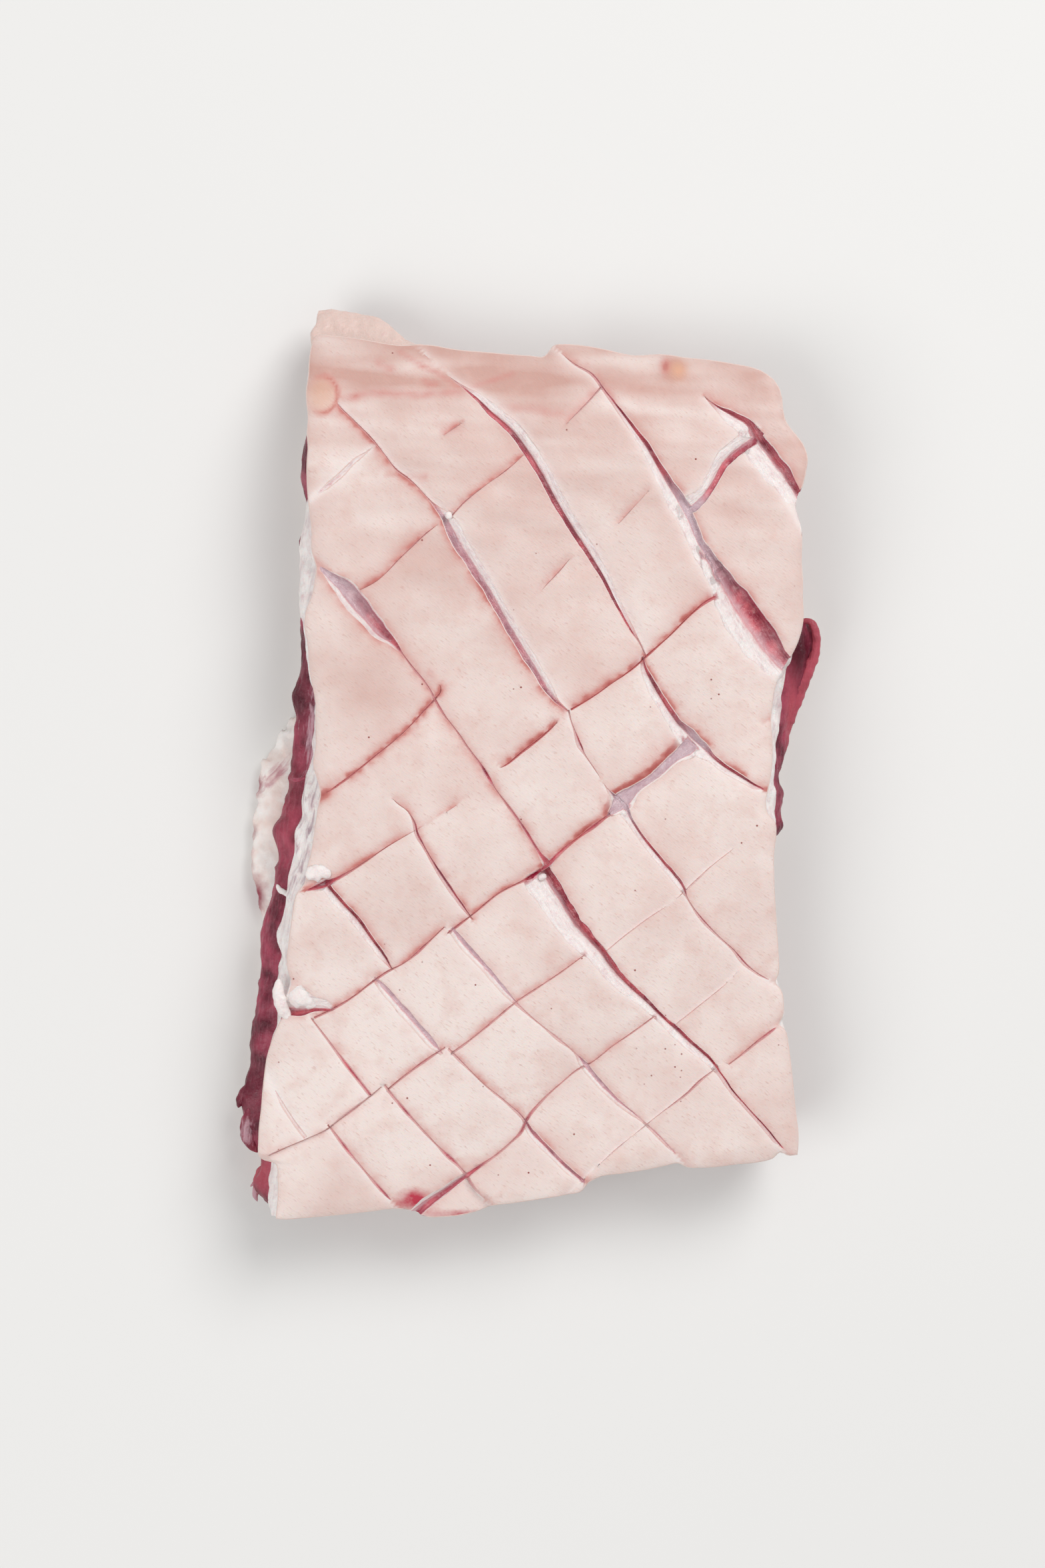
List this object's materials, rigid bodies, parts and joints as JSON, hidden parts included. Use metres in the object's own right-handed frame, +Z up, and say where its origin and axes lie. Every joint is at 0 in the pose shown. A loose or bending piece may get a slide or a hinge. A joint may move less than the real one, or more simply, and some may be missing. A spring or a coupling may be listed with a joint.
{
  "type": "pork belly slab",
  "caption": "Raw pork belly slab, skin side up, with diamond-scored rind on its fat, a layer of lean and the inner fat it lies on.",
  "frame": {"origin": "on the flat underside, below the middle of the slab's box", "axes": "+Z up, out of the rind; +Y along the slab, towards the end that rounds down; +X across it"},
  "size_m": [0.1843, 0.2886, 0.0377],
  "materials": {
    "rind_and_fat": "raw pork rind, pale pink and satin, over white back fat in the cuts",
    "lean": "raw lean meat, dark red and moist",
    "inner_fat": "raw inner fat, cream with pink marbling, moist"
  },
  "bodies": {
    "root": {"rind_and_fat": "rind_and_fat", "lean_layer": "lean", "inner_fat": "inner_fat"}
  },
  "joints": []
}
